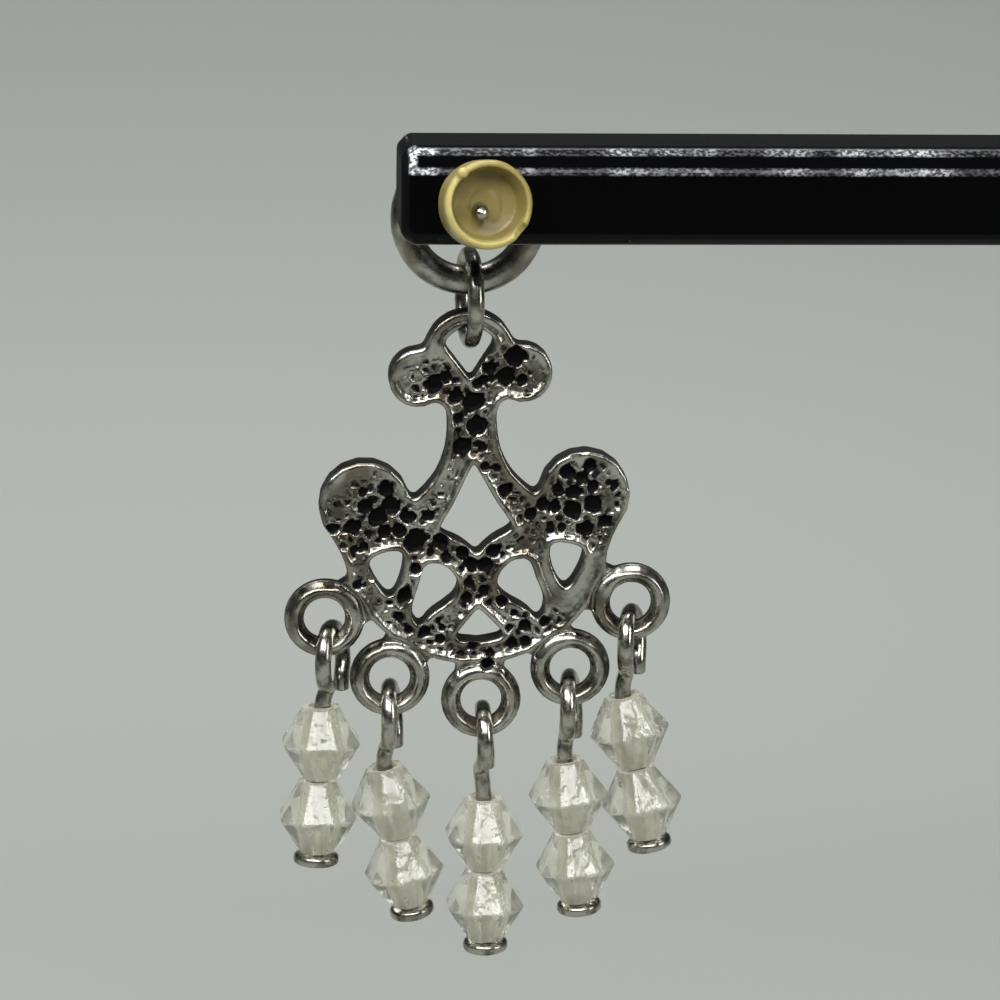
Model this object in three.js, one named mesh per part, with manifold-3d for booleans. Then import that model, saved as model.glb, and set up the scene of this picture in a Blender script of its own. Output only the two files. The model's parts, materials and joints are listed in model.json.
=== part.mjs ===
// A chandelier earring pinned through the end of a black display bar.
// Millimetres, +Z up. The origin is the centre of the bar's far end face. The earring hangs at the
// other end of the bar, flat in the XZ plane, and its back faces -Y.
import * as THREE from 'three';
import { mergeVertices } from 'three/addons/utils/BufferGeometryUtils.js';
import Module from 'manifold-3d';

const wasm = await Module();
wasm.setup();

// ---------- driving dimensions ----------

const BAR = {
  length: 32, depth: 5.4, height: 4.6,
  frontChamferDepth: 0.9, frontChamferHeight: 1.0,
  smallChamfer: 0.5,
  holeFromNearEnd: 3.5, holeBelowTop: 2.55, holeRadius: 0.7,
};

const STUD = {
  ringRadius: 3.07, tubeRadius: 0.75,
  postLeftOfRingCentre: 0.1, postAboveRingCentre: 1.83, postRadius: 0.4, postReach: 9.1,
  tipRadius: 0.28, tipRounding: 0.1, tipTaper: 0.35,
  padRadius: 0.9, padFront: 0.65, padBack: 0.5,
  gapToBar: 0.3,
};

const NUT = {
  radius: 2.05, length: 2.3, boreRadius: 0.7,
  rimWidth: 0.28, recessFloor: 1.0, recessFloorRadius: 1.5, recessFloorRise: 0.15,
  footBevelWidth: 0.3, footBevelHeight: 0.45, lipBevel: 0.15,
  noduleAt: 130, noduleRadius: 0.28, nickAt: -40, nickRadius: 0.4,
  tilt: 10, yaw: 8, gapToBar: 0.4, lift: 0.05, shift: 0.05,
};

const JUMP_RING = { radius: 2.08, wireRadius: 0.4, gapOverStud: 0.1, yaw: 5 };

const PLATE = { thickness: 1.45, tilt: 2.7 };

const LOOP = { outerRadius: 2.0, holeRadius: 1.03, thickness: 1.3, chamfer: 0.4 };

const WEB = { width: 2.4, thickness: 1.2, length: 1.3, fromLoopCentre: 1.8 };

const BEAD = { radius: 2.08, endRadius: 0.95, holeRadius: 0.65, height: 3.7, sides: 8 };

const PIN = {
  wireRadius: 0.4, headRadius: 1.13, headThickness: 0.5,
  eyeHalfWidth: 1.42, eyeHalfHeight: 1.5, eyeTopBelowLoopCentre: 0.55,
  eyeTurn: 320, tailLength: 0.8, tailShare: 0.12,
  tailShift: 0.45, tailShiftFrom: 0.4, tailShiftTo: 0.85, shankOverlap: 0.15, kinkOverlap: 0.08,
  kinkAboveBead: 0.3, gapAboveBead: 0.05, gapUnderBead: 0.12,
};

// The five loops in the plate's own frame, from left to right. The plate is the same on both sides.
const LOOP_PLACES = [
  { across: -7.6, up: -13.7 },
  { across: -4.5, up: -16.95 },
  { across: 0, up: -18.35 },
  { across: 4.5, up: -16.95 },
  { across: 7.6, up: -13.7 },
];

// How each drop hangs. slide moves the eye along its loop, entry is how far the first bead starts
// below the loop's centre, leans are degrees to the right, pitch is degrees to the front, and slack
// moves the lower bead sideways on its wire.
const DROPS = [
  { slide: 0.13, eyeYaw: -14, entry: 4.52, shankLean: -24, threadLean: 0.5, pitch: 3, slack: -0.18 },
  { slide: -0.15, eyeYaw: 0, entry: 4.67, shankLean: -10, threadLean: 10.8, pitch: -2, slack: 0 },
  { slide: -0.02, eyeYaw: 4, entry: 5.17, shankLean: 10, threadLean: 1.5, pitch: 0, slack: 0 },
  { slide: -0.18, eyeYaw: -4, entry: 4.82, shankLean: -1, threadLean: 6.6, pitch: 0, slack: 0 },
  { slide: -0.15, eyeYaw: -12, entry: 4.85, shankLean: -10, threadLean: 11, pitch: 2, slack: 0 },
];

// ---------- materials ----------

const finish = (color, roughness, metalness) =>
  new THREE.MeshStandardMaterial({ color, roughness, metalness });

const blackAcrylic = finish(0x08080a, 0.15, 0);
const antiquedSilver = finish(0x8a8a80, 0.35, 1);
const steelWire = finish(0xa6a7a3, 0.3, 1);
const yellowedSilicone = finish(0xc9ba6c, 0.5, 0);
const clearAcrylic = finish(0xd4d6c6, 0.1, 0);

// ---------- helpers ----------

const radians = THREE.MathUtils.degToRad;
const point = (x, y) => new THREE.Vector2(x, y);

// A closed three.js geometry as a manifold solid. Triangles that close up at a pole are dropped.
function solid(geometry) {
  const plain = geometry.clone();
  plain.deleteAttribute('normal');
  plain.deleteAttribute('uv');
  const merged = mergeVertices(plain, 1e-4);
  const corners = merged.index.array;
  const kept = [];
  for (let i = 0; i < corners.length; i += 3) {
    const [a, b, c] = [corners[i], corners[i + 1], corners[i + 2]];
    if (a !== b && b !== c && c !== a) kept.push(a, b, c);
  }
  const vertProperties = new Float32Array(merged.attributes.position.array);
  return new wasm.Manifold(new wasm.Mesh({
    numProp: 3, vertProperties, triVerts: new Uint32Array(kept),
  }));
}

function named(name, body, material) {
  const { vertProperties, triVerts } = body.getMesh();
  const geometry = new THREE.BufferGeometry();
  geometry.setAttribute('position', new THREE.BufferAttribute(new Float32Array(vertProperties), 3));
  geometry.setIndex(new THREE.BufferAttribute(new Uint32Array(triVerts), 1));
  geometry.computeVertexNormals();
  const mesh = new THREE.Mesh(geometry, material);
  mesh.name = name;
  return mesh;
}

// A ring of round wire about the Y axis.
function wireRing(radius, wireRadius, segments, sides) {
  const profile = [];
  for (let i = 0; i <= sides; i += 1) {
    const angle = (i % sides) / sides * 2 * Math.PI;
    profile.push(point(radius + wireRadius * Math.cos(angle), wireRadius * Math.sin(angle)));
  }
  return new THREE.LatheGeometry(profile, segments);
}

// A straight rod from one point to another.
function rod(from, to, radius, sides) {
  const along = to.clone().sub(from);
  const geometry = new THREE.CylinderGeometry(radius, radius, along.length(), sides);
  const turn = new THREE.Quaternion()
    .setFromUnitVectors(new THREE.Vector3(0, 1, 0), along.clone().normalize());
  geometry.applyQuaternion(turn);
  const middle = from.clone().add(to).multiplyScalar(0.5);
  return geometry.translate(middle.x, middle.y, middle.z);
}

// ---------- display bar ----------

function displayBar() {
  const { length, depth, height, smallChamfer: small } = BAR;
  const [front, back, low, high] = [-depth / 2, depth / 2, -height / 2, height / 2];
  const section = new THREE.Shape([
    point(front, low + small), point(front + small, low),
    point(back - small, low), point(back, low + small),
    point(back, high - small), point(back - small, high),
    point(front + BAR.frontChamferDepth, high), point(front, high - BAR.frontChamferHeight),
  ]);
  const geometry = new THREE.ExtrudeGeometry(section, {
    depth: length - 2 * small, bevelThickness: small, bevelSize: small,
    bevelOffset: -small, bevelSegments: 1, steps: 1,
  });
  geometry.translate(0, 0, small - length);
  const alongX = new THREE.Matrix4().makeBasis(
    new THREE.Vector3(0, 1, 0), new THREE.Vector3(0, 0, 1), new THREE.Vector3(1, 0, 0));
  geometry.applyMatrix4(alongX);
  const hole = new THREE.CylinderGeometry(BAR.holeRadius, BAR.holeRadius, 2 * depth, 20);
  hole.translate(BAR.holeFromNearEnd - length, 0, high - BAR.holeBelowTop);
  return named('display_bar', solid(geometry).subtract(solid(hole)), blackAcrylic);
}

// ---------- stud ring, with its pad and post soldered on ----------

function studRing() {
  const { postRadius: post, postReach: reach, padRadius: pad } = STUD;
  const postAndPad = new THREE.LatheGeometry([
    point(0, -reach), point(STUD.tipRadius, -reach + STUD.tipRounding),
    point(post, -reach + STUD.tipTaper),
    point(post, -STUD.padFront), point(pad, -STUD.padFront), point(pad, STUD.padBack),
    point(0, STUD.padBack),
  ], 16);
  postAndPad.translate(-STUD.postLeftOfRingCentre, 0, STUD.postAboveRingCentre);
  const ring = wireRing(STUD.ringRadius, STUD.tubeRadius, 36, 10);
  return named('stud_ring', solid(ring).add(solid(postAndPad)), antiquedSilver);
}

// ---------- ear nut, a soft cup with a bore in its floor ----------

function earNut() {
  const { radius, length, boreRadius: bore, rimWidth, recessFloor: floor } = NUT;
  const cup = solid(new THREE.LatheGeometry([
    point(bore, 0), point(radius - NUT.footBevelWidth, 0), point(radius, NUT.footBevelHeight),
    point(radius, length - NUT.lipBevel), point(radius - NUT.lipBevel, length),
    point(radius - rimWidth, length), point(NUT.recessFloorRadius, floor + NUT.recessFloorRise),
    point(bore, floor), point(bore, 0),
  ], 32));
  const onRim = (clockAngle, size) => new THREE.SphereGeometry(size, 10, 8).translate(
    (radius - rimWidth / 2) * Math.cos(radians(clockAngle)), length,
    -(radius - rimWidth / 2) * Math.sin(radians(clockAngle)));
  const nodule = solid(onRim(NUT.noduleAt, NUT.noduleRadius));
  const nick = solid(onRim(NUT.nickAt, NUT.nickRadius));
  const body = cup.add(nodule).subtract(nick);
  const nut = named('ear_nut', body, yellowedSilicone);
  nut.geometry.rotateX(Math.PI - radians(NUT.tilt)).rotateZ(radians(NUT.yaw));
  return nut;
}

// ---------- jump ring ----------

function jumpRing() {
  const ring = wireRing(JUMP_RING.radius, JUMP_RING.wireRadius, 32, 8);
  ring.rotateZ(Math.PI / 2).rotateZ(radians(JUMP_RING.yaw));
  return named('jump_ring', solid(ring), steelWire);
}

// ---------- chandelier plate ----------

const SMALL_LOBE = { across: 2.55, up: -1.7, radius: 1.45 };
const BIG_LOBE = { across: 5.4, up: -8.0, radius: 2.25 };
const BOWL = { up: -9.6, radius: 6.75 };

// Right half of the outline, from the top of the arch to the bottom of the bowl.
function halfOutline() {
  const arc = (path, lobe, from, to) =>
    path.absarc(lobe.across ?? 0, lobe.up, lobe.radius, radians(from), radians(to), true);
  const path = new THREE.Path();
  path.moveTo(0, 1.5);
  path.splineThru([point(0.75, 1.38), point(1.5, 0.95), point(1.95, 0.35), point(2.2, -0.15)]);
  arc(path, SMALL_LOBE, 95, -100);
  path.splineThru([point(1.75, -2.95), point(1.3, -3.3), point(1.2, -4.1), point(1.33, -5.3),
    point(1.72, -6.35), point(2.25, -7.1), point(2.95, -7.75)]);
  arc(path, BIG_LOBE, 168, -42);
  path.splineThru([point(6.72, -10.2), point(6.45, -11.0), point(6.35, -11.8)]);
  arc(path, BOWL, -23, -90);
  return path.getPoints(5);
}

// Openings on the middle line, right half of each from top to bottom.
const MIDDLE_OPENINGS = {
  kite: [[0, 0.78], [0.7, 0.52], [1.2, -0.05], [0.62, -1.0], [0, -1.9]],
  peak: [[0, -6.05], [0.45, -6.9], [1.0, -8.0], [1.68, -9.1], [1.7, -9.5],
    [0.85, -9.95], [0.3, -10.4], [0, -10.7]],
  foot: [[0, -13.45], [0.55, -14.05], [1.15, -14.8], [0.95, -15.05], [0, -15.2]],
};

// Openings beside the middle line, right side, each a closed round.
const SIDE_OPENINGS = {
  leaf: [[1.6, -11.2], [2.5, -11.1], [2.9, -12.1], [3.3, -13.5], [2.95, -14.2],
    [2.4, -13.65], [1.2, -12.8], [0.97, -12.1]],
  triangle: [[3.7, -10.4], [4.6, -10.4], [5.25, -10.75], [5.2, -11.4], [4.35, -12.65], [3.72, -11.5]],
};

const flatPoints = (rows) => rows.map(([across, up]) => point(across, up));
const mirrored = (points) => points.map((p) => point(-p.x, p.y)).reverse();

// Half a round, with its first and last points on the middle line, made whole by its mirror image.
const wholeFromHalf = (half) => [...half, ...mirrored(half).slice(1, -1)];

function closedSmooth(points, divisions) {
  const spatial = points.map((p) => new THREE.Vector3(p.x, p.y, 0));
  const curve = new THREE.CatmullRomCurve3(spatial, true, 'centripetal');
  return curve.getPoints(divisions).slice(0, -1).map((p) => point(p.x, p.y));
}

function withoutRepeats(points) {
  return points.filter((p, i) => p.distanceTo(points[(i + 1) % points.length]) > 0.02);
}

function chandelierPlate() {
  // Counterclockwise, so that the openings are turned to suit.
  const outline = withoutRepeats(wholeFromHalf(halfOutline())).reverse();
  const shape = new THREE.Shape(outline);
  for (const half of Object.values(MIDDLE_OPENINGS)) {
    const spline = new THREE.SplineCurve(flatPoints(half)).getPoints(2 * half.length);
    shape.holes.push(new THREE.Path(withoutRepeats(wholeFromHalf(spline))));
  }
  for (const round of Object.values(SIDE_OPENINGS)) {
    const right = closedSmooth(flatPoints(round), 20);
    shape.holes.push(new THREE.Path(right), new THREE.Path(mirrored(right)));
  }
  const { thickness } = PLATE;
  const sheet = new THREE.ExtrudeGeometry(shape, { depth: thickness, bevelEnabled: false });
  sheet.translate(0, 0, -thickness / 2).rotateX(Math.PI / 2);
  let body = solid(sheet);
  for (const place of LOOP_PLACES) body = body.add(castLoop(place));
  return named('chandelier_plate', body, antiquedSilver);
}

// A cast loop with chamfered edges, and the web that joins it to the bowl.
function castLoop({ across, up }) {
  const { outerRadius: outer, holeRadius: hole, chamfer } = LOOP;
  const half = LOOP.thickness / 2;
  const profile = [
    point(hole, -half + chamfer), point(hole + chamfer, -half), point(outer - chamfer, -half),
    point(outer, -half + chamfer), point(outer, half - chamfer), point(outer - chamfer, half),
    point(hole + chamfer, half), point(hole, half - chamfer), point(hole, -half + chamfer),
  ];
  const ring = new THREE.LatheGeometry(profile, 24).translate(across, 0, up);
  const inward = Math.atan2(BOWL.up - up, -across);
  const web = new THREE.BoxGeometry(WEB.length, WEB.thickness, WEB.width);
  web.rotateY(-inward).translate(
    across + WEB.fromLoopCentre * Math.cos(inward), 0, up + WEB.fromLoopCentre * Math.sin(inward));
  return solid(ring).add(solid(web));
}

// ---------- drops ----------

// The turned eye of a head pin: up the front, over the loop, down the back, and a straight tail
// that ends beside the shank.
class EyeCurve extends THREE.Curve {
  getPoint(t, target = new THREE.Vector3()) {
    const round = Math.min(t / (1 - PIN.tailShare), 1);
    const tail = Math.max((t - 1) / PIN.tailShare + 1, 0);
    const angle = radians(PIN.eyeTurn) * round;
    const shifted = THREE.MathUtils.smoothstep(t, PIN.tailShiftFrom, PIN.tailShiftTo);
    const sideways = shifted * PIN.tailShift;
    return target.set(
      sideways, -PIN.eyeHalfWidth * Math.sin(angle),
      -PIN.eyeHalfHeight * Math.cos(angle) - PIN.tailLength * tail);
  }
}

function wireSection(sides) {
  const corners = [];
  for (let i = 0; i < sides; i += 1) {
    const angle = i / sides * 2 * Math.PI;
    corners.push(point(PIN.wireRadius * Math.cos(angle), PIN.wireRadius * Math.sin(angle)));
  }
  return new THREE.Shape(corners);
}

// Where a drop's wire bends and which way its beads run, measured from the loop's centre.
function dropLine(drop) {
  const eyeBottom = new THREE.Vector3(
    drop.slide, 0, -PIN.eyeTopBelowLoopCentre - 2 * PIN.eyeHalfHeight);
  const shankDrop = drop.entry - PIN.kinkAboveBead + eyeBottom.z;
  const kink = eyeBottom.clone().add(
    new THREE.Vector3(Math.tan(radians(drop.shankLean)) * shankDrop, 0, -shankDrop));
  const down = new THREE.Vector3(
    Math.tan(radians(drop.threadLean)), -Math.tan(radians(drop.pitch)), -1).normalize();
  return { eyeBottom, kink, down };
}

const beadMiddle = (row) =>
  PIN.kinkAboveBead + PIN.gapAboveBead + BEAD.height / 2 + row * (BEAD.height + PIN.gapUnderBead);

function headPin(name, drop) {
  const { eyeBottom, kink, down } = dropLine(drop);
  const headTop = beadMiddle(1) + BEAD.height / 2 + PIN.gapUnderBead;
  const along = (distance) => kink.clone().addScaledVector(down, distance);
  const eye = new THREE.ExtrudeGeometry(wireSection(8), {
    steps: 26, extrudePath: new EyeCurve(), bevelEnabled: false,
  });
  eye.rotateZ(radians(drop.eyeYaw))
    .translate(eyeBottom.x, 0, eyeBottom.z + PIN.eyeHalfHeight);
  const overEye = eyeBottom.clone().add(new THREE.Vector3(0, 0, PIN.shankOverlap));
  const shank = rod(overEye, along(PIN.kinkOverlap), PIN.wireRadius, 10);
  const threadEnd = along(headTop + PIN.headThickness / 2);
  const thread = rod(along(-PIN.kinkOverlap), threadEnd, PIN.wireRadius, 10);
  const head = rod(along(headTop), along(headTop + PIN.headThickness), PIN.headRadius, 20);
  const body = solid(eye).add(solid(shank)).add(solid(thread)).add(solid(head));
  return named(name, body, steelWire);
}

function bead(name, drop, row) {
  const { radius, endRadius, holeRadius: hole, height, sides } = BEAD;
  const half = height / 2;
  const geometry = new THREE.LatheGeometry([
    point(hole, -half), point(endRadius, -half), point(radius, 0),
    point(endRadius, half), point(hole, half), point(hole, -half),
  ], sides, Math.PI / sides);
  const { kink, down } = dropLine(drop);
  const turn = new THREE.Quaternion()
    .setFromUnitVectors(new THREE.Vector3(0, 1, 0), down.clone().negate());
  const middle = kink.clone().addScaledVector(down, beadMiddle(row));
  middle.x += row * drop.slack;
  geometry.applyQuaternion(turn).translate(middle.x, middle.y, middle.z);
  return named(name, solid(geometry), clearAcrylic);
}

// ---------- assembly ----------

const ringCentre = new THREE.Vector3(
  BAR.holeFromNearEnd - BAR.length + STUD.postLeftOfRingCentre,
  BAR.depth / 2 + STUD.gapToBar + STUD.tubeRadius,
  BAR.height / 2 - BAR.holeBelowTop - STUD.postAboveRingCentre,
);
const jumpRingTop = STUD.tubeRadius + JUMP_RING.gapOverStud + JUMP_RING.wireRadius - STUD.ringRadius;
const jumpRingCentre = jumpRingTop - JUMP_RING.radius;
const platePivot = jumpRingCentre - JUMP_RING.radius;
const hangAcross = 0.1;

const earring = new THREE.Group();
earring.position.copy(ringCentre);

const nut = earNut();
nut.position.set(
  NUT.shift - STUD.postLeftOfRingCentre, -STUD.tubeRadius - STUD.gapToBar - BAR.depth - NUT.gapToBar,
  STUD.postAboveRingCentre + NUT.lift);
const link = jumpRing();
link.position.set(hangAcross, 0, jumpRingCentre);
earring.add(studRing(), nut, link);

const hanging = new THREE.Group();
hanging.position.set(hangAcross, 0, platePivot);
const plate = chandelierPlate();
plate.rotation.y = -radians(PLATE.tilt);
hanging.add(plate);

DROPS.forEach((drop, index) => {
  const { across, up } = LOOP_PLACES[index];
  const [cos, sin] = [Math.cos(radians(PLATE.tilt)), Math.sin(radians(PLATE.tilt))];
  const group = new THREE.Group();
  group.position.set(across * cos - up * sin, 0, across * sin + up * cos);
  group.add(
    headPin(`head_pin_${index + 1}`, drop),
    bead(`bead_${index + 1}_upper`, drop, 0),
    bead(`bead_${index + 1}_lower`, drop, 1),
  );
  hanging.add(group);
});
earring.add(hanging);

const object = new THREE.Group();
object.add(displayBar(), earring);

export default object;
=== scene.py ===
import json
import math

import bmesh
import bpy
from mathutils import Matrix, Vector


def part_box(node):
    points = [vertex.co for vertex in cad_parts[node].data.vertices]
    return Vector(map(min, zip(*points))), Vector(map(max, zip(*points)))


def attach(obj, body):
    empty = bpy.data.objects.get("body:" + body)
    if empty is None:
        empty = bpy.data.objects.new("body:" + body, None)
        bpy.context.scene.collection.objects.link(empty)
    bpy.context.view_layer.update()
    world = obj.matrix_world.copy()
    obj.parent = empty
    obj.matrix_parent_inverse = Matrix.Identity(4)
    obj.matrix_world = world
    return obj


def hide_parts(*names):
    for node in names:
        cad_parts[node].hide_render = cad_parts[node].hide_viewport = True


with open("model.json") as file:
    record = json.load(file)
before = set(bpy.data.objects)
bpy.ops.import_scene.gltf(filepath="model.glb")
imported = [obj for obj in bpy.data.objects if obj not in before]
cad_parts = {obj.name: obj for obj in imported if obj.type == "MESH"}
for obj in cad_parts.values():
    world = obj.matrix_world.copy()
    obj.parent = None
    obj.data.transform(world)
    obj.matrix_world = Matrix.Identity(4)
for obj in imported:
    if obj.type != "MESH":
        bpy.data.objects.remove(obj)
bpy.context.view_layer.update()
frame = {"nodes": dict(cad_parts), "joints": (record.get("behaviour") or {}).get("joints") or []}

MM = 0.001

# ---------- sizes, in millimetres ----------

BEAD_HEIGHT = 3.7
GAP_OVER_BEAD = 0.05
GAP_UNDER_BEAD = 0.12
WIRE_RADIUS = 0.4
TAIL_END_RADIUS = 0.34
KINK_ABOVE_BEAD = 0.3
HEAD_RADIUS = 1.13
HEAD_THICKNESS = 0.5
# The turned eye of a head pin, in degrees and millimetres. The last TAIL_SHARE of its wire is
# straight, and it steps aside by TAIL_SHIFT between the two shares of its length.
EYE_TURN = 320
EYE_HALF_WIDTH = 1.42
EYE_HALF_HEIGHT = 1.5
EYE_YAWS = {1: -14, 2: 0, 3: 4, 4: -4, 5: -12}
TAIL_LENGTH = 0.8
TAIL_SHARE = 0.12
TAIL_SHIFT = 0.45
TAIL_SHIFT_FROM, TAIL_SHIFT_TO = 0.4, 0.85
JUMP_RING_YAW = 5
PLATE_TILT = 2.7
LOOP_RADIUS = 2.0
LOOP_MIDDLE_RADIUS = 1.51
LOOP_HALF_WIDTH = 0.49
# The five cast loops: across and up from the plate's pivot.
LOOP_PLACES = [(-7.6, -13.7), (-4.5, -16.95), (0, -18.35), (4.5, -16.95), (7.6, -13.7)]
PIT_DEPTH = 0.3
SHALLOW_PIT_DEPTH = 0.09
# How far from its axis a bead's bore, or the bar's post hole, can reach.
BORE_REACH = 0.8
POST_HOLE_REACH = 0.9

# Cast pits, charted: across and up from the plate's pivot, and radius.
DEEP_PITS = {
    "top": [
        (-1.8, -2.0, .39), (-1.2, -1.7, .29), (2.2, -0.8, .5), (1.7, -1.8, .44), (0.9, -1.3, .34),
        (1.0, -0.9, .2), (0.3, -2.1, .28), (0.6, -1.95, .25), (2.5, -2.0, .29),
        (-0.75, -2.7, .34), (0.1, -3.0, .52),
    ],
    "neck": [
        (-0.7, -3.8, .25), (-0.7, -4.4, .2), (0.2, -4.2, .48), (-0.5, -5.2, .45), (0.45, -5.3, .24),
        (-2.3, -8.6, .29), (0.5, -6.3, .25), (1.15, -6.4, .2), (1.5, -7.5, .36), (2.7, -8.8, .32),
    ],
    "left_lobe": [
        (-4.3, -7.15, .37), (-4.1, -8.0, .44), (-5.4, -8.0, .37), (-4.8, -8.55, .42),
        (-3.3, -8.6, .37), (-5.5, -7.25, .22), (-7.05, -9.05, .3), (-6.05, -9.0, .39),
        (-5.3, -9.35, .2), (-4.5, -9.35, .34), (-3.8, -9.3, .34), (-3.0, -9.85, .56),
        (-3.2, -8.05, .15), (-5.55, -10.05, .25), (-6.55, -9.95, .2), (-6.0, -10.1, .2),
        (-1.7, -9.9, .38), (-0.7, -10.55, .36), (-2.3, -10.5, .22), (-1.5, -10.8, .28),
        (-3.0, -11.25, .29), (-3.65, -12.6, .39), (-5.25, -11.6, .2), (-5.95, -11.95, .25),
    ],
    "right_lobe": [
        (4.6, -6.8, .37), (5.25, -7.1, .32), (5.7, -6.5, .33), (6.9, -7.5, .22), (4.1, -7.65, .29),
        (4.9, -7.8, .32), (5.85, -7.55, .29), (5.8, -8.45, .42), (3.9, -8.5, .29),
        (4.8, -8.75, .42), (6.4, -9.35, .32), (5.4, -9.7, .39), (3.7, -9.4, .2),
        (4.25, -9.5, .22), (3.3, -8.35, .3), (0.8, -10.55, .37),
    ],
    "bowl": [
        (-0.3, -11.2, .39), (0.4, -11.25, .39), (-0.8, -11.45, .2), (-0.45, -12.15, .25),
        (0.3, -12.6, .27), (-0.55, -12.9, .28), (0.55, -13.25, .2), (1.15, -13.15, .29),
        (1.75, -13.8, .2), (2.35, -13.95, .2), (2.25, -14.5, .29), (3.25, -14.3, .29),
        (1.45, -14.6, .22), (1.6, -15.35, .27), (2.3, -15.3, .27), (-4.4, -12.95, .2),
        (-3.95, -13.7, .27), (-3.5, -14.4, .22), (-2.7, -14.5, .29), (-1.85, -14.4, .22),
        (-1.95, -14.95, .25), (-2.0, -14.0, .2), (-0.95, -15.8, .2), (0.5, -15.85, .24),
        (0.4, -16.35, .34), (-0.35, -15.35, .27),
    ],
}
SHALLOW_PITS = [
    (3.1, -1.4, .35), (3.3, -2.0, .3), (2.1, -2.6, .3), (-0.7, -6.15, .3), (-1.3, -7.25, .3),
    (2.4, -10.3, .3), (5.0, -5.95, .3), (6.6, -8.4, .3), (-3.6, -7.4, .28), (-6.7, -8.3, .28),
]

# ---------- colours and nodes ----------

MATH, RANGE, MIX = "ShaderNodeMath", "ShaderNodeMapRange", "ShaderNodeMix"
SMOOTH = {"interpolation_type": "SMOOTHSTEP"}
COLOUR = {"data_type": "RGBA"}


def linear(hex_colour, alpha=1.0):
    """An sRGB hex colour as the linear colour that the shaders take."""
    parts = [int(hex_colour[i:i + 2], 16) / 255 for i in (0, 2, 4)]
    return [p / 12.92 if p <= 0.04045 else ((p + 0.055) / 1.055) ** 2.4 for p in parts] + [alpha]


def add(tree, kind, values=(), **settings):
    """Adds a node with its settings, sets or links its inputs, and returns its outputs."""
    node = tree.nodes.new(kind)
    for name, value in settings.items():
        setattr(node, name, value)
    for key, value in values.items() if isinstance(values, dict) else enumerate(values):
        if isinstance(value, bpy.types.NodeSocket):
            tree.links.new(value, node.inputs[key])
        else:
            node.inputs[key].default_value = value
    return node.outputs


def product(tree, *values):
    """All the values multiplied together."""
    total = values[0]
    for value in values[1:]:
        total = add(tree, MATH, (total, value), operation="MULTIPLY")[0]
    return total


def lumps(tree, size_mm, detail=3.0, stretch=(1, 1, 1)):
    """Noise on Object coordinates whose lumps are about size_mm across."""
    place = add(tree, "ShaderNodeTexCoord")["Object"]
    scaled = add(tree, "ShaderNodeMapping", {0: place, 3: stretch})[0]
    return add(tree, "ShaderNodeTexNoise", {0: scaled, 2: 1 / (size_mm * MM), 3: detail})[0]


def new_material(name):
    material = bpy.data.materials.new(name)
    material.use_nodes = True
    return material, material.node_tree, material.node_tree.nodes["Principled BSDF"]


def new_tree(name, **inputs):
    """An empty Geometry Nodes tree with a geometry in and out and the named inputs."""
    tree = bpy.data.node_groups.new(name, "GeometryNodeTree")
    tree.interface.new_socket("Geometry", in_out="INPUT", socket_type="NodeSocketGeometry")
    tree.interface.new_socket("Geometry", in_out="OUTPUT", socket_type="NodeSocketGeometry")
    for label, kind in inputs.items():
        tree.interface.new_socket(label, in_out="INPUT", socket_type="NodeSocket" + kind)
    return tree, tree.nodes.new("NodeGroupInput").outputs


def end_tree(tree, geometry, material):
    smooth = add(tree, "GeometryNodeSetShadeSmooth", (geometry,))[0]
    real = add(tree, "GeometryNodeRealizeInstances", (smooth,))[0]
    painted = add(tree, "GeometryNodeSetMaterial", {0: real, 2: material})[0]
    add(tree, "NodeGroupOutput", (painted,))
    return tree


def uneven(tree, geometry, grain, depth):
    """Moves a surface in and out along its normals by noise of the given grain and depth."""
    noise = add(tree, "ShaderNodeTexNoise", {2: grain, 3: 2.0})[0]
    centred = add(tree, MATH, (noise, 0.5), operation="SUBTRACT")[0]
    outward = add(tree, "GeometryNodeInputNormal")[0]
    push = add(tree, "ShaderNodeVectorMath", {0: outward, 3: product(tree, centred, depth)},
               operation="SCALE")[0]
    return add(tree, "GeometryNodeSetPosition", {0: geometry, 3: push})[0]


def rounded(tree, geometry, passes):
    """Rounds a surface by blurring the places of its points."""
    place = add(tree, "GeometryNodeInputPosition")[0]
    blurred = add(tree, "GeometryNodeBlurAttribute", {0: place, "Iterations": passes},
                  data_type="FLOAT_VECTOR")[0]
    return add(tree, "GeometryNodeSetPosition", {0: geometry, 2: blurred})[0]


# ---------- materials ----------


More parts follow.
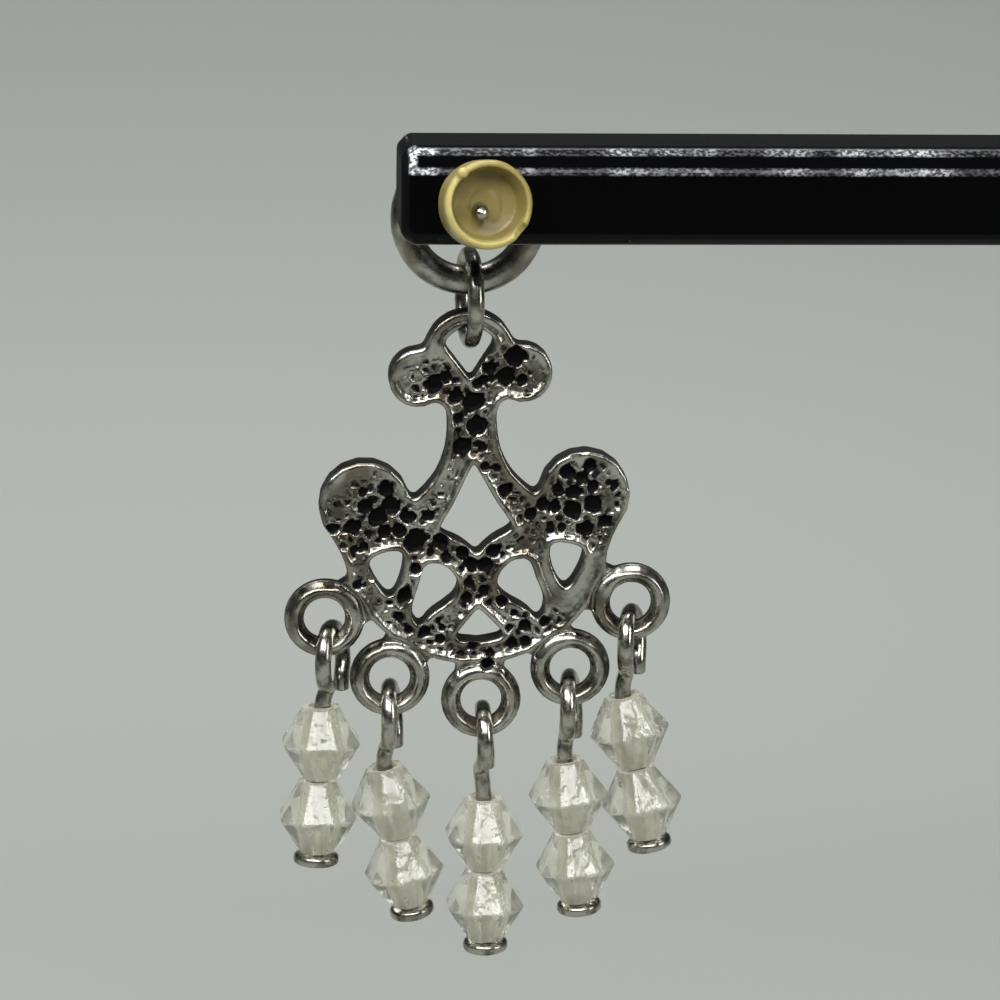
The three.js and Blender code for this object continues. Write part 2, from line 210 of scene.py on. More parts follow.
def cast_antiqued_silver():
    # Silver-plated cast zinc, dipped in a black oxide and wiped: bright high places, a warm grey
    # film on the flats, and pits that stay almost black. The side walls are painted nearly black:
    # partly oxide left where wiping doesn't reach, partly painted shade.
    material, tree, shader = new_material("cast_antiqued_silver")
    film = add(tree, RANGE, (lumps(tree, 1.3), 0.36, 0.66), **SMOOTH)[0]
    warmth = add(tree, RANGE, (lumps(tree, 2.6, 1.0), 0.56, 0.7, 0.0, 0.5), **SMOOTH)[0]
    wiped = add(tree, MIX, {0: film, 6: linear("adaca4"), 7: linear("6e6b61")}, **COLOUR)[2]
    metal = add(tree, MIX, {0: warmth, 6: wiped, 7: linear("75695c")}, **COLOUR)[2]
    pit = add(tree, "ShaderNodeAttribute", attribute_name="pit")["Fac"]
    side = add(tree, "ShaderNodeAttribute", attribute_name="side")["Fac"]
    mottle = add(tree, MATH, (lumps(tree, 0.35), 0.5), operation="SUBTRACT")[0]
    pit = add(tree, MATH, (mottle, 0.5, pit), operation="MULTIPLY_ADD")[0]
    oxide_and_wall_shade = add(tree, RANGE, (pit, 0.3, 0.75), **SMOOTH)[0]
    # Side walls nearly black: partly oxide left where wiping doesn't reach, partly painted shade.
    oxide_and_wall_shade = add(tree, MATH, (oxide_and_wall_shade, product(tree, side, 0.96)), operation="MAXIMUM")[0]
    colour = add(tree, MIX, {0: oxide_and_wall_shade, 6: metal, 7: linear("070607")}, **COLOUR)[2]
    metallic = add(tree, RANGE, (oxide_and_wall_shade, 0.2, 1, 1.0, 0.2), **SMOOTH)[0]
    worn = add(tree, RANGE, (lumps(tree, 0.5), 0.3, 0.7, 0.18, 0.34), **SMOOTH)[0]
    rough = add(tree, MATH, (oxide_and_wall_shade, 0.3, worn), operation="MULTIPLY_ADD")[0]
    skin = {"Height": lumps(tree, 0.18), "Strength": 0.5, "Distance": 0.02 * MM}
    tree.links.new(colour, shader.inputs["Base Color"])
    tree.links.new(metallic, shader.inputs["Metallic"])
    tree.links.new(rough, shader.inputs["Roughness"])
    tree.links.new(add(tree, "ShaderNodeBump", skin)[0], shader.inputs["Normal"])
    shader.inputs["Specular IOR Level"].default_value = 0.07
    return material


def plated_wire():
    # Drawn steel wire with a worn rhodium plate: bright, with fine lengthwise die lines.
    material, tree, shader = new_material("plated_wire")
    worn = add(tree, RANGE, (lumps(tree, 0.7), 0.45, 0.7), **SMOOTH)[0]
    colour = add(tree, MIX, {0: worn, 6: linear("aaa89f"), 7: linear("66635a")}, **COLOUR)[2]
    rough = add(tree, RANGE, (lumps(tree, 0.3), 0.3, 0.7, 0.15, 0.32), **SMOOTH)[0]
    die_lines = {"Height": lumps(tree, 0.12, 2.0, (1, 1, 0.15)), "Strength": 0.5,
                 "Distance": 0.012 * MM}
    tree.links.new(colour, shader.inputs["Base Color"])
    tree.links.new(rough, shader.inputs["Roughness"])
    tree.links.new(add(tree, "ShaderNodeBump", die_lines)[0], shader.inputs["Normal"])
    shader.inputs["Metallic"].default_value = 1.0
    return material


def moulded_clear_acrylic():
    # Injection-moulded acrylic, yellowed a little: clear, slightly wavy facets with a milky haze,
    # and a rough bore that hides the wire behind a cloudy column.
    material, tree, shader = new_material("moulded_clear_acrylic")
    bore = add(tree, "ShaderNodeAttribute", attribute_name="bore")["Fac"]
    haze = add(tree, RANGE, (lumps(tree, 1.3), 0.35, 0.7, 0.94, 0.82), **SMOOTH)[0]
    clear = add(tree, MATH, (haze, product(tree, bore, 0.2)), operation="SUBTRACT")[0]
    colour = add(tree, MIX, {0: bore, 6: linear("f6f6ea"), 7: linear("f2f0e0")}, **COLOUR)[2]
    polish = add(tree, RANGE, (lumps(tree, 0.9), 0.3, 0.7, 0.02, 0.12), **SMOOTH)[0]
    rough = add(tree, MATH, (bore, 0.4, polish), operation="MULTIPLY_ADD")[0]
    waves = {"Height": lumps(tree, 0.7), "Strength": 0.8, "Distance": 0.12 * MM}
    tree.links.new(clear, shader.inputs["Transmission Weight"])
    tree.links.new(colour, shader.inputs["Base Color"])
    tree.links.new(rough, shader.inputs["Roughness"])
    tree.links.new(add(tree, "ShaderNodeBump", waves)[0], shader.inputs["Normal"])
    shader.inputs["IOR"].default_value = 1.49
    return material


def yellowed_silicone():
    # Moulded silicone rubber, yellowed with age: a pale translucent rim, and a floor that goes
    # olive: painted shade standing in for the black bar showing through it.
    material, tree, shader = new_material("yellowed_silicone")
    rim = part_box("ear_nut")[0].y
    place = add(tree, "ShaderNodeTexCoord")["Object"]
    depth = add(tree, "ShaderNodeSeparateXYZ", (place,))[1]
    # Painted shade: the deeper the floor lies in the recess, the more olive it is painted.
    recess_shade = add(tree, RANGE, (depth, rim + 0.15 * MM, rim + 1.0 * MM), **SMOOTH)[0]
    tint = add(tree, RANGE, (lumps(tree, 1.1), 0.35, 0.7, 0.0, 0.35), **SMOOTH)[0]
    # Painted shade of the floor, together with random patches of tint.
    floor_shade_and_tint = add(tree, MATH, (recess_shade, tint), operation="MAXIMUM")[0]
    colour = add(tree, MIX, {0: floor_shade_and_tint, 6: linear("b4a96c"), 7: linear("827443")}, **COLOUR)[2]
    rough = add(tree, RANGE, (lumps(tree, 0.4), 0.3, 0.7, 0.28, 0.45), **SMOOTH)[0]
    skin = {"Height": lumps(tree, 0.25), "Strength": 0.4, "Distance": 0.015 * MM}
    tree.links.new(colour, shader.inputs["Base Color"])
    tree.links.new(rough, shader.inputs["Roughness"])
    tree.links.new(add(tree, "ShaderNodeBump", skin)[0], shader.inputs["Normal"])
    shader.inputs["Subsurface Weight"].default_value = 0.4
    shader.inputs["Subsurface Radius"].default_value = (1.0, 0.8, 0.35)
    shader.inputs["Subsurface Scale"].default_value = 0.5 * MM
    shader.inputs["IOR"].default_value = 1.41
    return material


def scuffed_black_acrylic():
    # Cast acrylic bar, polished black: dark on every face, with pale rubbed marks where the long
    # front chamfer meets the faces beside it, and a sawn end.
    material, tree, shader = new_material("scuffed_black_acrylic")
    low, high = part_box("display_bar")
    place = add(tree, "ShaderNodeTexCoord")["Object"]
    x, y, z = add(tree, "ShaderNodeSeparateXYZ", (place,))

    def from_end(first, last, to_first=0, to_last=1):
        """Turns smoothly from one value to another between two distances from the near end."""
        return add(tree, RANGE, (x, low.x + first * MM, low.x + last * MM, to_first, to_last),
                   **SMOOTH)[0]

    def band(value, level, width):
        """One close to the level, and nothing past the width."""
        away = add(tree, MATH, (value, level), operation="SUBTRACT")[0]
        away = add(tree, MATH, (away,), operation="ABSOLUTE")[0]
        return add(tree, RANGE, (away, width * MM, 0.45 * width * MM), **SMOOTH)[0]

    # where the marks lie
    near_front = add(tree, RANGE, (y, low.y + 1.2 * MM, low.y + 0.95 * MM), **SMOOTH)[0]
    upper = band(z, high.z - 0.24 * MM, 0.19)
    lower = band(z, high.z - 1.05 * MM, 0.21)
    end = product(tree, band(x, low.x + 0.52 * MM, 0.27), band(z, high.z - 0.5 * MM, 0.75))
    strips = add(tree, MATH, (upper, lower), operation="MAXIMUM")[0]
    bands = add(tree, MATH, (strips, end), operation="MAXIMUM")[0]

    # how strong they are
    flecks = lumps(tree, 0.13, 4.0, (0.7, 1, 1))
    speckle = add(tree, RANGE, (flecks, 0.42, 0.64, 0.1, 1.0), **SMOOTH)[0]
    stretches = lumps(tree, 3.0, 3.0, (1, 0.3, 0.3))
    patches = add(tree, RANGE, (stretches, 0.44, 0.62, 0.1, 0.6), **SMOOTH)[0]
    patches = product(tree, patches, from_end(5, 6, 0.3, 1))
    patches = add(tree, MATH, (patches, from_end(1.9, 1.3)), operation="MAXIMUM")[0]
    scuff = product(tree, bands, near_front, speckle, patches, from_end(0.28, 0.4))

    colour = add(tree, MIX, {0: scuff, 6: linear("040405"), 7: linear("d5d7dc")}, **COLOUR)[2]
    sawn = product(tree, from_end(0.5, 0.25), 0.6)
    rubbed = add(tree, RANGE, (scuff, 0, 1, 0.14, 0.45), **SMOOTH)[0]
    rough = add(tree, MATH, (sawn, rubbed), operation="MAXIMUM")[0]
    height = add(tree, MATH, (scuff, 0.6, lumps(tree, 0.8)), operation="MULTIPLY_ADD")[0]
    skin = {"Height": height, "Strength": 0.15, "Distance": 0.02 * MM}
    tree.links.new(colour, shader.inputs["Base Color"])
    tree.links.new(rough, shader.inputs["Roughness"])
    tree.links.new(add(tree, "ShaderNodeBump", skin)[0], shader.inputs["Normal"])
    shader.inputs["Specular IOR Level"].default_value = 0.1
    shader.inputs["IOR"].default_value = 1.49
    return material


SILVER = cast_antiqued_silver()
WIRE = plated_wire()
ACRYLIC = moulded_clear_acrylic()
SILICONE = yellowed_silicone()
BLACK = scuffed_black_acrylic()

# ---------- making plain meshes ----------


def link_object(name, data):
    made = bpy.data.objects.new(name, data)
    bpy.context.scene.collection.objects.link(made)
    return made


def plain(name, source):
    """The evaluated source as a plain mesh object at the origin; the source is removed."""
    graph = bpy.context.evaluated_depsgraph_get()
    mesh = bpy.data.meshes.new_from_object(source.evaluated_get(graph))
    bpy.data.objects.remove(source)
    mesh.name = name
    return link_object(name, mesh)


def grown(name, source, tree, values):
    """Runs a Geometry Nodes tree on the source and returns the plain result."""
    modifier = source.modifiers.new("grow", "NODES")
    modifier.node_group = tree
    for item in tree.interface.items_tree:
        if item.in_out == "INPUT" and item.name in values:
            modifier[item.identifier] = values[item.name]
    return plain(name, source)


def loose_points(name, points, edges=(), **columns):
    """Bare points, with the edges between them, that carry the named columns of numbers."""
    mesh = bpy.data.meshes.new(name)
    mesh.from_pydata([tuple(p) for p in points], edges, [])
    for label, column in columns.items():
        mesh.attributes.new(label, "FLOAT", "POINT").data.foreach_set("value", column)
    return link_object(name, mesh)


def merged_copy(node, name):
    """A copy of a CAD node with its loose triangles joined and its flat faces made whole."""
    mesh = frame["nodes"][node].data.copy()
    work = bmesh.new()
    work.from_mesh(mesh)
    bmesh.ops.remove_doubles(work, verts=work.verts, dist=0.0005 * MM)
    bmesh.ops.dissolve_limit(work, angle_limit=math.radians(0.5),
                             verts=work.verts, edges=work.edges)
    work.to_mesh(mesh)
    work.free()
    mesh.materials.clear()
    return link_object(name, mesh)


def remeshed(node, voxel, extra=None):
    """A CAD node, and an extra closed mesh if given, as one evenly meshed skin."""
    source = merged_copy(node, "remeshed")
    if extra:
        work = bmesh.new()
        work.from_mesh(source.data)
        work.from_mesh(extra)
        work.to_mesh(source.data)
        work.free()
    remesh = source.modifiers.new("even", "REMESH")
    remesh.mode = "VOXEL"
    remesh.voxel_size = voxel * MM
    return plain("remeshed", source)


def bevelled(source, width, angle, left_sharp):
    """Rounds the edges sharper than angle, apart from those whose middles are left sharp."""
    work = bmesh.new()
    work.from_mesh(source.data)
    weight = work.edges.layers.float.new("bevel_weight_edge")
    for edge in work.edges:
        middle = (edge.verts[0].co + edge.verts[1].co) / 2
        sharp = edge.calc_face_angle(0) > math.radians(angle)
        edge[weight] = float(sharp and not left_sharp(middle))
    work.to_mesh(source.data)
    work.free()
    bevel = source.modifiers.new("edges", "BEVEL")
    bevel.width = width * MM
    bevel.segments = 3
    bevel.limit_method = "WEIGHT"


def vertices_of(node):
    return [v.co.copy() for v in frame["nodes"][node].data.vertices]


def post_tip():
    """The end of the ear post, on the nut's side."""
    return min(vertices_of("stud_ring"), key=lambda p: p.y)


def dress(piece, body, node):
    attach(piece, body)
    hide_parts(node)


# ---------- swept wire ----------


def wire_tree():
    """Sweeps a round section along a path whose points carry their own radius."""
    tree, given = new_tree("swept_wire", Sides="Int", Wear="Float", Grain="Float")
    radius = add(tree, "GeometryNodeInputNamedAttribute", ("thickness",))[0]
    path = add(tree, "GeometryNodeMeshToCurve", (given["Geometry"],))[0]
    section = add(tree, "GeometryNodeCurvePrimitiveCircle",
                  {"Resolution": given["Sides"], "Radius": 1.0})[0]
    tube = add(tree, "GeometryNodeCurveToMesh",
               {0: path, 1: section, "Scale": radius, "Fill Caps": True})[0]
    return end_tree(tree, uneven(tree, tube, given["Grain"], given["Wear"]), WIRE)


WIRE_TREE = wire_tree()


def swept(name, points, radii):
    edges = [(i, i + 1) for i in range(len(points) - 1)]
    source = loose_points("path", points, edges, thickness=radii)
    return grown(name, source, WIRE_TREE, {"Sides": 20, "Wear": 0.03 * MM, "Grain": 1 / (0.7 * MM)})


# ---------- drops ----------

BEND_PASSES = 10
THREAD_STEPS, SHANK_STEPS, EYE_STEPS = 40, 8, 80
# The softening of the bends starts this many points up the thread.
STRAIGHT_STEPS = 30


def top_of(node):
    """The middle of the highest 0.05 mm of a CAD node, at its full height."""
    points = vertices_of(node)
    high = max(p.z for p in points)
    crown = [p for p in points if p.z > high - 0.05 * MM]
    return Vector((sum(p.x for p in crown) / len(crown), sum(p.y for p in crown) / len(crown), high))


def bead_middle(number, row):
    points = vertices_of(f"bead_{number}_{row}")
    return sum(points, Vector()) / len(points)


def softened(points, keep):
    """Rounds the bends of a path, leaving its first keep points alone."""
    for _ in range(BEND_PASSES):
        points = [p if i < keep or i == len(points) - 1 else
                  (points[i - 1] + 2 * p + points[i + 1]) / 4 for i, p in enumerate(points)]
    return points


def head_profile():
    """How far along the thread, and how wide, the disc head is, from its underside up."""
    edge, steps, fillet = 0.16, 4, 0.08
    rows = [(0.0, HEAD_RADIUS - edge)]
    for i in range(1, steps + 1):
        turn = math.radians(90 * i / steps)
        rows.append((edge * (1 - math.cos(turn)), HEAD_RADIUS - edge * (1 - math.sin(turn))))
    mirrored = [(HEAD_THICKNESS - along, wide) for along, wide in reversed(rows)]
    return rows + mirrored + [(HEAD_THICKNESS + 0.01, WIRE_RADIUS + fillet),
                              (HEAD_THICKNESS + fillet, WIRE_RADIUS)]


def eye_point(share):
    """A point of the turned eye, from its bottom over the loop to the end of its tail."""
    angle = math.radians(EYE_TURN) * min(share / (1 - TAIL_SHARE), 1)
    late = min(max((share - TAIL_SHIFT_FROM) / (TAIL_SHIFT_TO - TAIL_SHIFT_FROM), 0), 1)
    side = late * late * (3 - 2 * late) * TAIL_SHIFT
    tail = max((share - 1 + TAIL_SHARE) / TAIL_SHARE, 0) * TAIL_LENGTH
    return Vector((side, -EYE_HALF_WIDTH * math.sin(angle),
                   -EYE_HALF_HEIGHT * math.cos(angle) - tail)) * MM


def head_pin(number):
    node = f"head_pin_{number}"
    upper, lower = bead_middle(number, "upper"), bead_middle(number, "lower")
    down = (lower - upper).normalized()
    kink = upper - down * (BEAD_HEIGHT / 2 + GAP_OVER_BEAD + KINK_ABOVE_BEAD) * MM
    eye_middle = top_of(node) - Vector((0, 0, WIRE_RADIUS + EYE_HALF_HEIGHT)) * MM
    underside = lower + down * (BEAD_HEIGHT / 2 + GAP_UNDER_BEAD + HEAD_THICKNESS) * MM
    points = [underside - down * along * MM for along, _ in head_profile()]
    radii = [wide * MM for _, wide in head_profile()]
    straight = len(points) + STRAIGHT_STEPS
    eye_bottom = eye_middle - Vector((0, 0, EYE_HALF_HEIGHT)) * MM
    for first, last, steps in ((points[-1], kink, THREAD_STEPS), (kink, eye_bottom, SHANK_STEPS)):
        points += [first.lerp(last, i / steps) for i in range(1, steps + 1)]
    turn = Matrix.Rotation(math.radians(EYE_YAWS[number]), 3, "Z")
    points += [eye_middle + turn @ eye_point(i / EYE_STEPS) for i in range(1, EYE_STEPS + 1)]
    radii += [WIRE_RADIUS * MM] * (len(points) - len(radii) - 1) + [TAIL_END_RADIUS * MM]
    dress(swept(f"pin_{number}", softened(points, straight), radii), "drop", node)


def faceted_bead(number, row):
    node = f"bead_{number}_{row}"
    source = merged_copy(node, "bead_source")
    centre = bead_middle(number, row)
    along = (bead_middle(number, "lower") - bead_middle(number, "upper")).normalized()

    def in_bore(point):
        return (point - centre).cross(along).length < BORE_REACH * MM

    marks = [float(in_bore(v.co)) for v in source.data.vertices]
    source.data.attributes.new("bore", "FLOAT", "POINT").data.foreach_set("value", marks)
    bevelled(source, 0.09, 12, in_bore)
    source.data.materials.append(ACRYLIC)
    dress(plain(f"facets_{number}_{row}", source), "drop", node)


# ---------- chandelier plate ----------


def casting_tree():
    """Rounds a remeshed casting, leaves a raised rim along its walls and a crease round each
    loop, and sinks the charted pits and a fine cell pattern in its front."""
    tree, given = new_tree("pitted_casting", Chart="Object", Walls="Object", Loops="Object",
                           Front="Float", Rounding="Int", RimHeight="Float", LoopRadius="Float",
                           CellSize="Float", CellDepth="Float", Grain="Float", GrainDepth="Float")
    skin = rounded(tree, given["Geometry"], given["Rounding"])
    place = add(tree, "GeometryNodeInputPosition")[0]
    axes = add(tree, "ShaderNodeSeparateXYZ", (place,))
    normal = add(tree, "GeometryNodeInputNormal")[0]
    facing = add(tree, "ShaderNodeSeparateXYZ", (normal,))[1]
    on_front = add(tree, RANGE, (facing, -0.5, -0.85), **SMOOTH)[0]
    flatness = add(tree, MATH, (facing,), operation="ABSOLUTE")[0]
    # Walls across the plate; the silver paints these nearly black, partly oxide and partly painted
    # shade.
    side = add(tree, RANGE, (flatness, 0.6, 0.15), **SMOOTH)[0]
    level = add(tree, "ShaderNodeCombineXYZ", (axes[0], given["Front"], axes[2]))[0]
    chart = add(tree, "GeometryNodeObjectInfo", (given["Chart"],))["Geometry"]
    nearest = add(tree, "GeometryNodeSampleNearest", (chart, level))[0]

    def from_chart(value, kind):
        return add(tree, "GeometryNodeSampleIndex", (chart, value, nearest), data_type=kind)[0]

    def distance_to(name, element):
        target = add(tree, "GeometryNodeObjectInfo", (given[name],))["Geometry"]
        return add(tree, "GeometryNodeProximity", {0: target, 2: level}, target_element=element)[1]

    # charted pits
    centre = from_chart(place, "FLOAT_VECTOR")
    radius = from_chart(add(tree, "GeometryNodeInputNamedAttribute", ("radius",))[0], "FLOAT")
    depth = from_chart(add(tree, "GeometryNodeInputNamedAttribute", ("depth",))[0], "FLOAT")
    away = add(tree, "ShaderNodeVectorMath", (level, centre), operation="DISTANCE")[1]
    share = add(tree, MATH, (away, radius), operation="DIVIDE")[0]
    noise = add(tree, "ShaderNodeTexNoise", {0: level, 2: 1 / (0.45 * MM), 3: 1.0})[0]
    ragged = add(tree, RANGE, (noise, 0.3, 0.7, -0.14, 0.14), **SMOOTH)[0]
    share = add(tree, MATH, (share, ragged), operation="ADD")[0]
    pit = product(tree, add(tree, RANGE, (share, 1.14, 0.8), **SMOOTH)[0], on_front)

    # rim, crease and loops
    from_wall = distance_to("Walls", "FACES")
    from_loop = distance_to("Loops", "POINTS")
    beyond = add(tree, MATH, (from_loop, given["LoopRadius"]), operation="SUBTRACT")[0]
    near_edge = add(tree, MATH, (beyond,), operation="ABSOLUTE")[0]
    crease = add(tree, RANGE, (near_edge, 0.26 * MM, 0.06 * MM), **SMOOTH)[0]
    crease = product(tree, crease, on_front)
    off_loop = add(tree, RANGE, (beyond, -0.05 * MM, 0.15 * MM), **SMOOTH)[0]
    off_rim = add(tree, RANGE, (from_wall, 0.2 * MM, 0.5 * MM), **SMOOTH)[0]
    inside = product(tree, off_rim, off_loop, on_front)

    # fine cells round the pits
    edges = add(tree, "ShaderNodeTexVoronoi", {0: level, 2: given["CellSize"]},
                feature="DISTANCE_TO_EDGE")[0]
    hollow = add(tree, RANGE, (edges, 0.02, 0.2), **SMOOTH)[0]
    worked = add(tree, RANGE, (share, 4.6, 2.6), **SMOOTH)[0]
    unpitted = add(tree, MATH, (1.0, pit), operation="SUBTRACT")[0]
    cell = product(tree, hollow, worked, inside, unpitted)

    # how deep, and how dark
    sunk = product(tree, pit, depth)
    for amount, by in ((cell, given["CellDepth"]), (inside, given["RimHeight"]),
                       (crease, 0.1 * MM)):
        sunk = add(tree, MATH, (amount, by, sunk), operation="MULTIPLY_ADD")[0]
    from_middle = add(tree, MATH, (from_loop, LOOP_MIDDLE_RADIUS * MM), operation="SUBTRACT")[0]
    from_middle = add(tree, MATH, (from_middle, LOOP_HALF_WIDTH * MM), operation="DIVIDE")[0]
    on_loop = add(tree, RANGE, (beyond, 0.05 * MM, -0.02 * MM), **SMOOTH)[0]
    rounding = product(tree, from_middle, from_middle, on_loop, 0.24 * MM, facing)
    sunk = add(tree, MATH, (sunk, rounding), operation="SUBTRACT")[0]
    noise = add(tree, "ShaderNodeTexNoise", {0: place, 2: given["Grain"], 3: 2.0})[0]
    noise = add(tree, MATH, (noise, 0.5), operation="SUBTRACT")[0]
    sunk = add(tree, MATH, (noise, given["GrainDepth"], sunk), operation="MULTIPLY_ADD")[0]
    dark = product(tree, pit, add(tree, MATH, (depth, 0.28 * MM), operation="DIVIDE")[0])
    for amount, by in ((cell, 0.5), (crease, 0.25), (inside, 0.22)):
        dark = add(tree, MATH, (amount, by, dark), operation="MULTIPLY_ADD")[0]
    for name, value in (("pit", dark), ("side", side)):
        skin = add(tree, "GeometryNodeStoreNamedAttribute", {0: skin, 2: name, 3: value},
                   data_type="FLOAT", domain="POINT")[0]
    push = add(tree, "ShaderNodeCombineXYZ", {1: sunk})[0]
    pitted = add(tree, "GeometryNodeSetPosition", {0: skin, 3: push})[0]
    return end_tree(tree, pitted, SILVER)


def on_plate(pivot, front, across, up):
    """A place given across and up from the plate's pivot, on the plate's front."""
    tilt = math.radians(PLATE_TILT)
    return Vector((pivot.x + (across * math.cos(tilt) - up * math.sin(tilt)) * MM, front,
                   pivot.z + (across * math.sin(tilt) + up * math.cos(tilt)) * MM))


def pit_chart(pivot, front):
    """The charted pits as loose points on the plate's front, with their radius and depth."""
    # No pit is deeper than 0.9 of its radius.
    rows = [(*row, PIT_DEPTH) for group in DEEP_PITS.values() for row in group]
    rows += [(*row, SHALLOW_PIT_DEPTH) for row in SHALLOW_PITS]
    return loose_points("pit_chart", [on_plate(pivot, front, row[0], row[1]) for row in rows],
                        radius=[row[2] * MM for row in rows],
                        depth=[min(row[3], 0.9 * row[2]) * MM for row in rows])


def walls_of(node):
    """Only the faces of a CAD node that stand across the plate."""
    mesh = frame["nodes"][node].data.copy()
    work = bmesh.new()
    work.from_mesh(mesh)
    flat = [f for f in work.faces if abs(f.normal.y) > 0.4]
    bmesh.ops.delete(work, geom=flat, context="FACES")
    work.to_mesh(mesh)
    work.free()
    return link_object("walls", mesh)


def chandelier_plate():
    joint = next(j for j in frame["joints"] if j["name"] == "drop_sway")
    pivot = Vector(joint["pos_m"])
    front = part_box("chandelier_plate")[0].y
    chart = pit_chart(pivot, front)
    walls = walls_of("chandelier_plate")
    loops = loose_points("loops", [on_plate(pivot, front, *row) for row in LOOP_PLACES])
    piece = grown("openwork_plate", remeshed("chandelier_plate", 0.09), casting_tree(), {
        "Chart": chart, "Walls": walls, "Loops": loops, "Front": front, "Rounding": 5,
        "RimHeight": 0.12 * MM, "LoopRadius": LOOP_RADIUS * MM, "CellSize": 1 / (0.48 * MM),
        "CellDepth": 0.13 * MM, "Grain": 1 / (0.4 * MM), "GrainDepth": 0.05 * MM,
    })
    for helper in (chart, walls, loops):
        bpy.data.objects.remove(helper)
    dress(piece, "drop", "chandelier_plate")


# ---------- rings, nut and bar ----------


def jump_ring():
    low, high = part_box("jump_ring")
    centre = (low + high) / 2
    radius = (high.z - low.z) / 2 - WIRE_RADIUS * MM
    yaw = Matrix.Rotation(math.radians(JUMP_RING_YAW), 3, "Z")
    back, up = yaw @ Vector((0, 1, 0)), Vector((0, 0, 1))
    # The cut in the ring sits high at the back.
    cut_at, cut_width, steps = 60, 2, 96
    points = []
    for i in range(steps + 1):
        turn = math.radians(cut_at + cut_width / 2 + (360 - cut_width) * i / steps)
        points.append(centre + radius * (math.cos(turn) * back + math.sin(turn) * up))
    piece = swept("link_ring", points, [WIRE_RADIUS * MM] * len(points))
    dress(piece, "link", "jump_ring")


def soft_tree(name, material):
    """Rounds a remeshed piece and gives it a faint unevenness."""
    tree, given = new_tree(name, Rounding="Int", Grain="Float", GrainDepth="Float")
    skin = rounded(tree, given["Geometry"], given["Rounding"])
    return end_tree(tree, uneven(tree, skin, given["Grain"], given["GrainDepth"]), material)


def stud_ring():
    tree = soft_tree("soldered_stud", SILVER)
    piece = grown("stud", remeshed("stud_ring", 0.09), tree,
                  {"Rounding": 9, "Grain": 1 / (0.9 * MM), "GrainDepth": 0.03 * MM})
    dress(piece, "root", "stud_ring")


def gripping_floor():
    """The middle of the nut's floor, closed round the post."""
    tip = post_tip()
    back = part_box("ear_nut")[1].y
    radius, thickness, from_back, tilt = 0.95, 0.9, 0.93, 10
    work = bmesh.new()
    bmesh.ops.create_cone(
        work, cap_ends=True, segments=32, radius1=radius * MM, radius2=radius * MM,
        depth=thickness * MM, matrix=Matrix.Translation((tip.x, back - from_back * MM, tip.z))
        @ Matrix.Rotation(math.radians(90 - tilt), 4, "X"))
    mesh = bpy.data.meshes.new("floor")
    work.to_mesh(mesh)
    work.free()
    return mesh


def ear_nut():
    tree = soft_tree("moulded_nut", SILICONE)
    piece = grown("cup_nut", remeshed("ear_nut", 0.055, gripping_floor()), tree,
                  {"Rounding": 4, "Grain": 1 / (1.4 * MM), "GrainDepth": 0.08 * MM})
    dress(piece, "root", "ear_nut")


def display_bar():
    source = merged_copy("display_bar", "bar_source")
    post = post_tip()

    def in_post_hole(point):
        return math.hypot(point.x - post.x, point.z - post.z) < POST_HOLE_REACH * MM

    bevelled(source, 0.24, 15, in_post_hole)
    source.data.materials.append(BLACK)
    dress(plain("bar", source), "root", "display_bar")


display_bar()
stud_ring()
ear_nut()
jump_ring()
chandelier_plate()
for drop_number in range(1, 6):
    head_pin(drop_number)
    faceted_bead(drop_number, "upper")
    faceted_bead(drop_number, "lower")

# ---------- stage ----------


def sweep_backdrop():
    """A pale floor that curves up into a wall behind the object."""
    front, floor, wall, bend, half_width, steps = -700, -75, 190, 90, 900, 24
    profile = [(front, floor), (wall - bend, floor)]
    for i in range(1, steps + 1):
        turn = math.radians(90 * i / steps)
        profile.append((wall - bend + bend * math.sin(turn), floor + bend * (1 - math.cos(turn))))
    points = [(side * MM, y * MM, z * MM) for side in (-half_width, half_width) for y, z in profile]
    count = len(profile)
    faces = [(i, i + count, i + count + 1, i + 1) for i in range(count - 1)]
    mesh = bpy.data.meshes.new("backdrop")
    mesh.from_pydata(points, [], faces)
    mesh.polygons.foreach_set("use_smooth", [True] * len(faces))
    mesh.materials.append(backdrop_paper())
    link_object("backdrop", mesh)


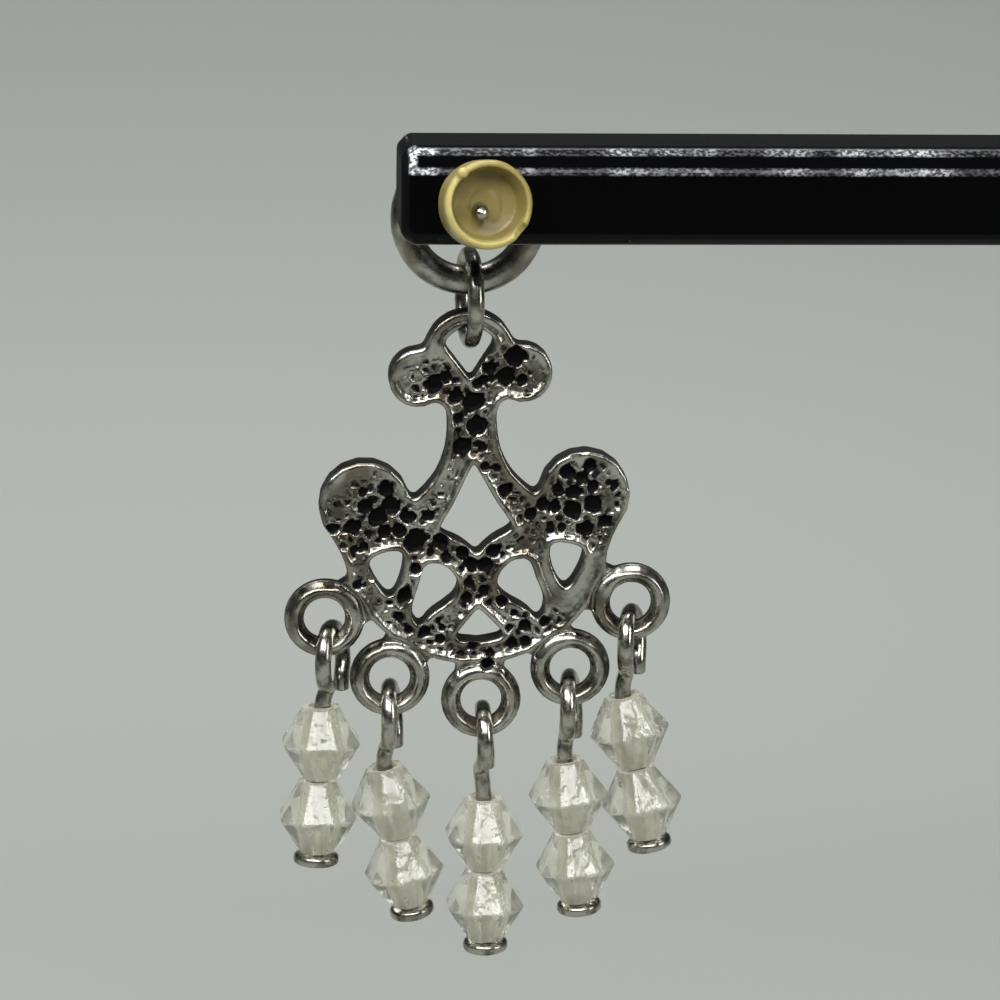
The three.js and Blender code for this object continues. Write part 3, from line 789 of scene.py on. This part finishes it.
def backdrop_paper():
    # Matt grey background paper, with painted shade deepening as it rises into the wall.
    material, tree, shader = new_material("backdrop_paper")
    place = add(tree, "ShaderNodeTexCoord")["Object"]
    rise = add(tree, "ShaderNodeSeparateXYZ", (place,))[2]
    # Painted shade, standing in for the light falling off up the wall.
    wall_shade = add(tree, RANGE, (rise, -66 * MM, -6 * MM), **SMOOTH)[0]
    paper_and_wall_shade = add(tree, MIX, {0: wall_shade, 6: linear("979a95"), 7: linear("868985")}, **COLOUR)[2]
    tree.links.new(paper_and_wall_shade, shader.inputs["Base Color"])
    shader.inputs["Roughness"].default_value = 1.0
    return material


HANG_MIDDLE = Vector((-28, 0, -20))


def soft_light(name, place, size, power):
    """A soft box at a place, facing the middle of the hanging earring."""
    data = bpy.data.lights.new(name, "AREA")
    data.shape = "RECTANGLE"
    data.size, data.size_y = size[0] * MM, size[1] * MM
    data.energy = power
    made = link_object(name, data)
    made.location = Vector(place) * MM
    made.rotation_euler = (HANG_MIDDLE - Vector(place)).to_track_quat("-Z", "Y").to_euler()


sweep_backdrop()
soft_light("front_strip", (-96, -186, 178), (340, 100), 1.25)
soft_light("overhead", (-40, 60, 300), (260, 150), 1.15)
soft_light("right", (190, -130, 60), (60, 160), 0.2)

world = bpy.data.worlds.new("studio")
world.use_nodes = True
world.node_tree.nodes["Background"].inputs["Color"].default_value = linear("b4bab4")
world.node_tree.nodes["Background"].inputs["Strength"].default_value = 0.13
bpy.context.scene.world = world
bpy.context.scene.view_settings.view_transform = "Standard"

# ---------- camera ----------

AZIMUTH, ELEVATION, ROLL = (math.radians(angle) for angle in (-5, 15, 1))
CAMERA_PLACE = Vector((-41.38, -164.64, 29.14)) * MM
right = Vector((math.cos(AZIMUTH), math.sin(AZIMUTH), 0))
back = Vector((math.sin(AZIMUTH) * math.cos(ELEVATION), -math.cos(AZIMUTH) * math.cos(ELEVATION),
               math.sin(ELEVATION)))
rolled_right = right * math.cos(ROLL) + back.cross(right) * math.sin(ROLL)
camera_data = bpy.data.cameras.new("camera")
camera_data.sensor_width = 36
camera_data.lens = 128.2
camera_data.clip_start = 5 * MM
camera = link_object("camera", camera_data)
turned = Matrix((rolled_right, back.cross(rolled_right), back)).transposed()
camera.matrix_world = Matrix.Translation(CAMERA_PLACE) @ turned.to_4x4()
bpy.context.scene.camera = camera
